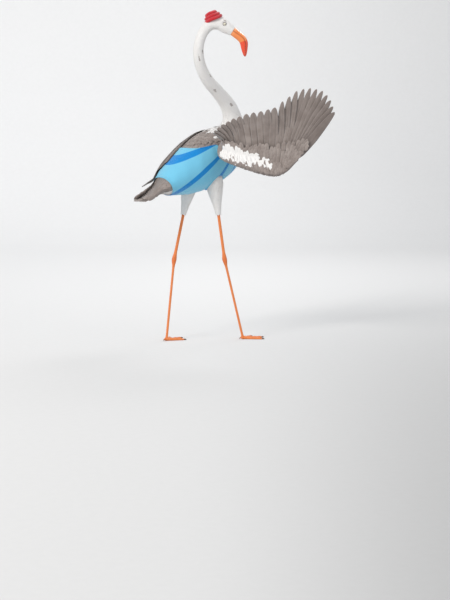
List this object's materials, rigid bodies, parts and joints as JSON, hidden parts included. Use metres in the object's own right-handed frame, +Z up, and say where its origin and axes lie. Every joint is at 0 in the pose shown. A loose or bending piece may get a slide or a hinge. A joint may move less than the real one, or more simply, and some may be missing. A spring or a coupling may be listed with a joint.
{
  "type": "flamingo model",
  "caption": "Life-size flamingo standing with legs apart, one wing half raised and head turned, in a rolled knit cap and a striped bathing suit.",
  "frame": {"origin": "on the floor under the middle of the bird's box", "axes": "+X the way the breast faces, +Y the bird's left, +Z up"},
  "size_m": [0.574, 0.6658, 1.3685],
  "materials": {
    "plumage_white": "soft matte feathers, white with small grey marks on the neck",
    "plumage_grey_brown": "matte flight feathers and coverts, grey-brown",
    "bill_horn": "satin horn, orange with a red-orange tip past the bend",
    "leg_skin": "satin scaled skin, orange",
    "claw_horn": "satin dark horn",
    "eyes": "glossy pale iris with a small black pupil",
    "cap_knit": "matte red wool knit",
    "suit_knit": "matte light blue knit with mid-blue hoops"
  },
  "bodies": {
    "root": {"bathing_suit": "suit_knit", "bill_lower": "bill_horn", "bill_upper": "bill_horn", "cap": "cap_knit", "claw_left_hind": "claw_horn", "claw_left_inner": "claw_horn", "claw_left_middle": "claw_horn", "claw_left_outer": "claw_horn", "claw_right_hind": "claw_horn", "claw_right_inner": "claw_horn", "claw_right_middle": "claw_horn", "claw_right_outer": "claw_horn", "eye_left": "eyes", "eye_right": "eyes", "foot_left": "leg_skin", "foot_right": "leg_skin", "head": "plumage_white", "neck_lower": "plumage_white", "neck_middle": "plumage_white", "neck_upper": "plumage_white", "shank_left": "leg_skin", "shank_right": "leg_skin", "tail": "plumage_grey_brown", "tarsus_left": "leg_skin", "tarsus_right": "leg_skin", "thigh_left": "plumage_white", "thigh_right": "plumage_white", "trunk": "plumage_white", "wing_left_arm": "plumage_grey_brown", "wing_left_primaries": "plumage_grey_brown", "wing_left_secondaries": "plumage_grey_brown", "wing_right_fold": "plumage_grey_brown", "wing_right_forearm": "plumage_grey_brown", "wing_right_hand": "plumage_grey_brown", "wing_right_primaries": "plumage_grey_brown", "wing_right_secondaries": "plumage_grey_brown", "wing_right_tertials": "plumage_grey_brown", "wing_right_upper_arm": "plumage_grey_brown"}
  },
  "joints": []
}
